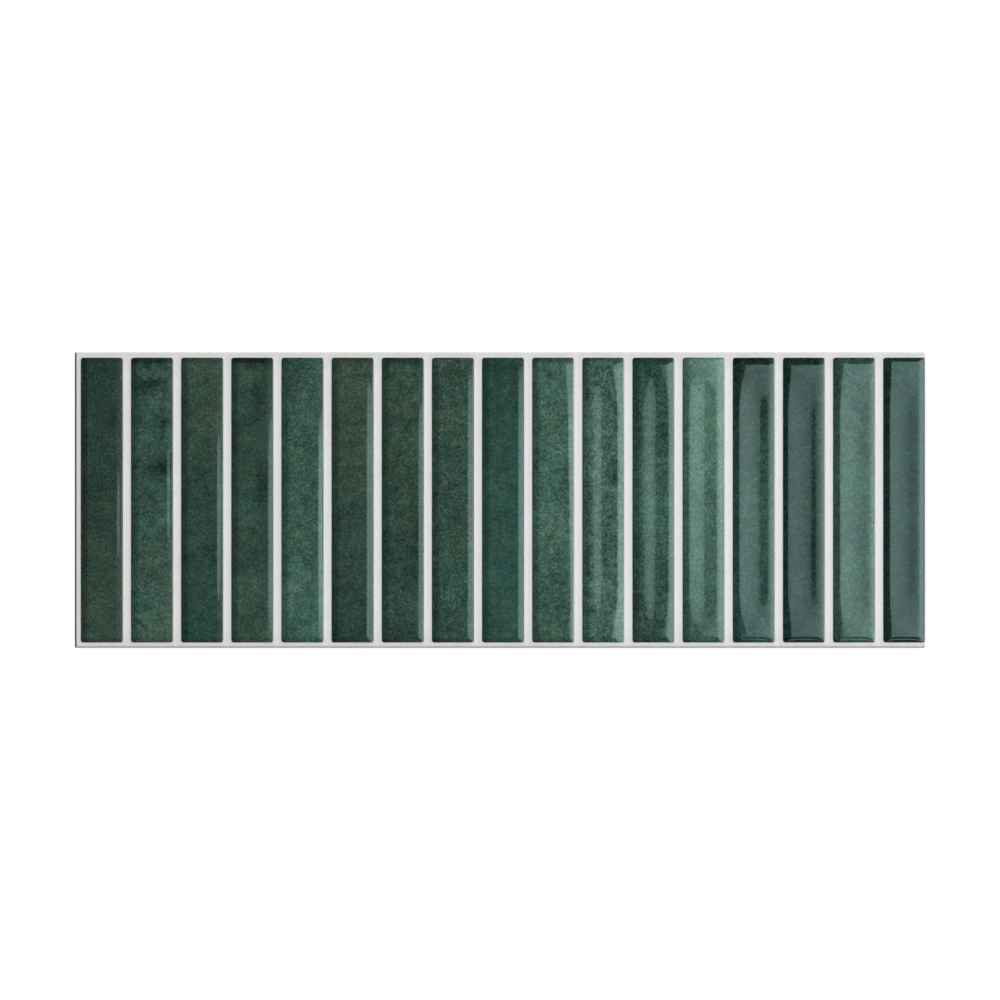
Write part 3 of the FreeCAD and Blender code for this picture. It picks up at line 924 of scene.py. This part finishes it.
def add_panel(name, centre, size, radiance, colour):
    """A flat rectangular lamp facing down, of a given radiance: power = radiance x pi x area."""
    data = bpy.data.lights.new(name, "AREA")
    data.shape = "RECTANGLE"
    data.size, data.size_y = size
    data.energy = radiance * np.pi * size[0] * size[1]
    data.color = linear(colour)[:3]
    lamp = bpy.data.objects.new(name, data)
    lamp.location = centre
    bpy.context.scene.collection.objects.link(lamp)
    return lamp


window = add_panel(
    "window_softbox", centre=(0.476, -0.13, 1.2), size=(0.66, 0.64),
    radiance=1.0, colour="#ECF8FA",
)
window.rotation_euler.z = WINDOW_TURN
window.data.use_nodes = True
tree = window.data.node_tree
tree.nodes.clear()
across_window = add(tree, "SeparateXYZ", Vector=add(tree, "NewGeometry").outputs["Parametric"])
swelling = add(tree, "Math", {"operation": "POWER"}, _0=across_window, _1=GLOW_POWER)
glow = add(tree, "MapRange", Value=swelling, To_Min=NEAR_GLOW, To_Max=FAR_GLOW)
add(tree, "OutputLight", Surface=add(tree, "Emission", Strength=glow))

overhead = add_panel(
    "overhead_panel", centre=(0.2, 0.6, 2.0), size=(2.8, 2.8),
    radiance=1.6, colour="#FFF8F6",
)
overhead.visible_glossy = False
print(f"lamps: {window.data.energy:.2f} W window, {overhead.data.energy:.1f} W overhead")

# %% Surroundings: dim overhead, pale at the horizon
# the change lies between these two heights of the direction, from 0 level to 1 straight up
HORIZON_TOP, DIM_START = 0.15, 0.5
HORIZON_LEVEL, DIM_LEVEL = 1.0, 0.1

world = bpy.data.worlds.new("studio")
bpy.context.scene.world = world
world.use_nodes = True
tree = world.node_tree
tree.nodes.clear()
direction = add(tree, "TexCoord").outputs["Generated"]
upward = add(tree, "SeparateXYZ", Vector=direction).outputs["Z"]
level = add(tree, "MapRange", Value=upward, From_Min=HORIZON_TOP, From_Max=DIM_START,
            To_Min=HORIZON_LEVEL, To_Max=DIM_LEVEL)
add(tree, "OutputWorld", Surface=add(tree, "Background", Color="#FFFFFF", Strength=level))

# %% Floor
# a round sheet, its radius in metres
FLOOR_RADIUS = 6.0
FLOOR_SIDES = 96

turns = np.linspace(0, 2 * np.pi, FLOOR_SIDES, endpoint=False)
floor_points = FLOOR_RADIUS * np.column_stack([np.cos(turns), np.sin(turns), 0 * turns])
floor_mesh = bpy.data.meshes.new("floor")
floor_mesh.from_pydata(floor_points, [], [list(range(len(turns)))])
floor = bpy.data.objects.new("floor", floor_mesh)
bpy.context.scene.collection.objects.link(floor)

# %% Paper of the floor
# the eye and the gloss see it nearly white, while it lights the tile only as grey paper would
FLOOR_GLOW = 0.8
PAPER = "#A0A0A0"
MAXIMUM = {"operation": "MAXIMUM"}

paper, tree = new_finish("white_paper")
ray = add(tree, "LightPath").outputs
seen = add(tree, "Math", MAXIMUM, _0=ray["Is Camera Ray"], _1=ray["Is Glossy Ray"])
seen = add(tree, "Math", MAXIMUM, _0=seen, _1=ray["Is Transmission Ray"])
whiteness = add(tree, "Math", MULTIPLY, _0=seen, _1=FLOOR_GLOW)
matt = add(tree, "BsdfDiffuse", Color=PAPER)
white = add(tree, "Emission", Strength=whiteness)
add(tree, "OutputMaterial", Surface=add(tree, "AddShader", _0=matt, _1=white))
floor_mesh.materials.append(paper)

# %% Picture settings and the end
bpy.context.scene.view_settings.view_transform = "Standard"
